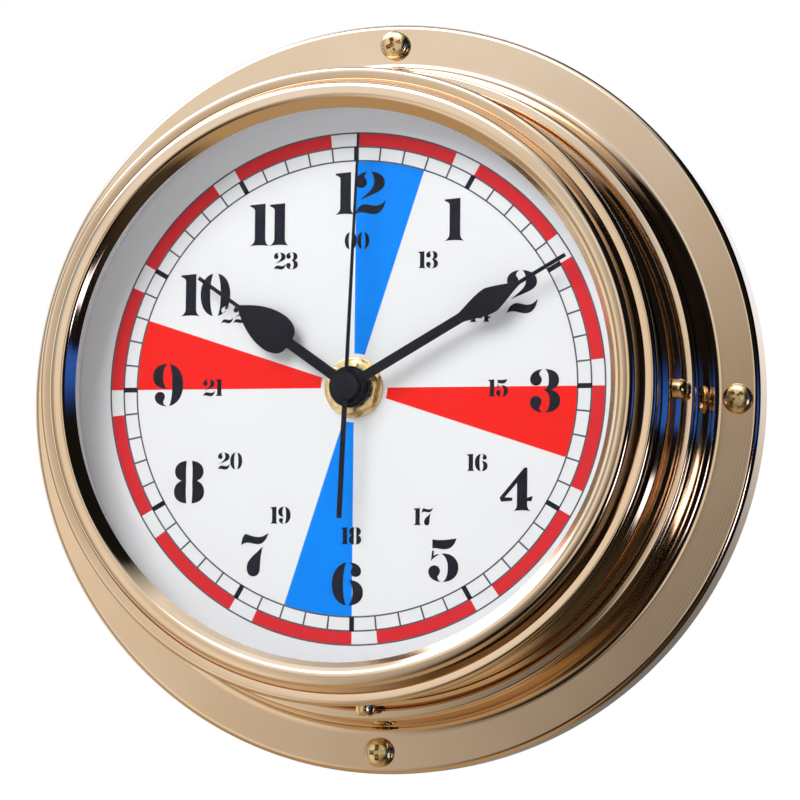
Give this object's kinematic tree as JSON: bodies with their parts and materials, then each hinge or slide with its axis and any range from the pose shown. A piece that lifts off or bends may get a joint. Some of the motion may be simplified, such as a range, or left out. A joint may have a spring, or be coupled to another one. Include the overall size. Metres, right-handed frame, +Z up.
{
  "type": "ships clock",
  "caption": "Round brass porthole wall clock with a wide screw flange, stepped bezel, glass front, printed sector dial and a quartz movement driving the hands.",
  "frame": {"origin": "centre of the wall plane, on the axis of the hands", "axes": "+Z up towards twelve, +X right towards three, dial faces -Y, wall behind at +Y"},
  "size_m": [0.18, 0.0555, 0.18],
  "materials": {
    "polished_brass": "polished",
    "screw_brass": "turned",
    "clear_glass": "clear",
    "black_rubber": "matte",
    "white_enamel": "white with printed colours",
    "black_paint": "satin",
    "white_plastic": "moulded",
    "magnet_grey": "sintered",
    "bright_steel": "bright",
    "black_plastic": "moulded",
    "copper_wire": "enamelled copper wire",
    "board_green": "resin board",
    "silver_can": "bright",
    "battery_sleeve": "plain sleeve"
  },
  "bodies": {
    "case": {"base_case": "polished_brass", "bezel_ring": "polished_brass", "flange_screw_1": "screw_brass", "flange_screw_2": "screw_brass", "flange_screw_3": "screw_brass", "flange_screw_4": "screw_brass", "bezel_screw_1": "screw_brass", "bezel_screw_2": "screw_brass", "bezel_screw_3": "screw_brass", "bezel_screw_4": "screw_brass", "front_glass": "clear_glass", "glass_gasket": "black_rubber", "reflector_ring": "white_enamel", "dial_plate": "white_enamel", "rubber_washer": "black_rubber", "nut_washer": "screw_brass", "centre_nut": "screw_brass", "centre_bushing": "screw_brass", "movement_case": "black_plastic", "movement_cover": "black_plastic", "stator": "bright_steel", "coil_core": "bright_steel", "coil_bobbin": "black_plastic", "coil_winding": "copper_wire", "circuit_board": "board_green", "quartz_crystal": "silver_can", "timing_chip": "black_plastic", "battery_cell": "battery_sleeve", "contact_positive": "bright_steel", "contact_negative": "bright_steel"},
    "second": {"second_hand": "black_paint", "second_wheel": "white_plastic"},
    "minute": {"minute_hand": "black_paint", "centre_wheel": "white_plastic"},
    "hour": {"hour_hand": "black_paint", "hour_wheel": "white_plastic"},
    "minute_works": {"minute_wheel": "white_plastic", "setting_knob": "white_plastic"},
    "third": {"third_wheel": "white_plastic"},
    "intermediate": {"intermediate_wheel": "white_plastic"},
    "rotor": {"rotor": "magnet_grey"}
  },
  "joints": [
    {"name": "second_turn", "type": "hinge", "parent": "case", "child": "second", "pos_m": [0, 0, 0], "axis": [0, 1, 0], "continuous": true},
    {"name": "minute_turn", "type": "hinge", "parent": "case", "child": "minute", "pos_m": [0, 0, 0], "axis": [0, 1, 0], "continuous": true},
    {"name": "hour_turn", "type": "hinge", "parent": "case", "child": "hour", "pos_m": [0, 0, 0], "axis": [0, 1, 0], "continuous": true},
    {"name": "minute_works_turn", "type": "hinge", "parent": "case", "child": "minute_works", "pos_m": [0.00259, 0, 0.00966], "axis": [0, 1, 0], "continuous": true},
    {"name": "third_turn", "type": "hinge", "parent": "case", "child": "third", "pos_m": [-0.00927, 0, 0.00248], "axis": [0, 1, 0], "continuous": true},
    {"name": "intermediate_turn", "type": "hinge", "parent": "case", "child": "intermediate", "pos_m": [0.00986, 0, -0.00086], "axis": [0, 1, 0], "continuous": true},
    {"name": "rotor_turn", "type": "hinge", "parent": "case", "child": "rotor", "pos_m": [0.01469, 0, 0.00319], "axis": [0, 1, 0], "continuous": true}
  ],
  "couplings": [
    {"joint": "minute_turn", "follows": "second_turn", "ratio": 0.016667},
    {"joint": "hour_turn", "follows": "second_turn", "ratio": 0.0013889},
    {"joint": "minute_works_turn", "follows": "second_turn", "ratio": -0.0055556},
    {"joint": "third_turn", "follows": "second_turn", "ratio": -0.125},
    {"joint": "intermediate_turn", "follows": "second_turn", "ratio": -5},
    {"joint": "rotor_turn", "follows": "second_turn", "ratio": 30}
  ]
}
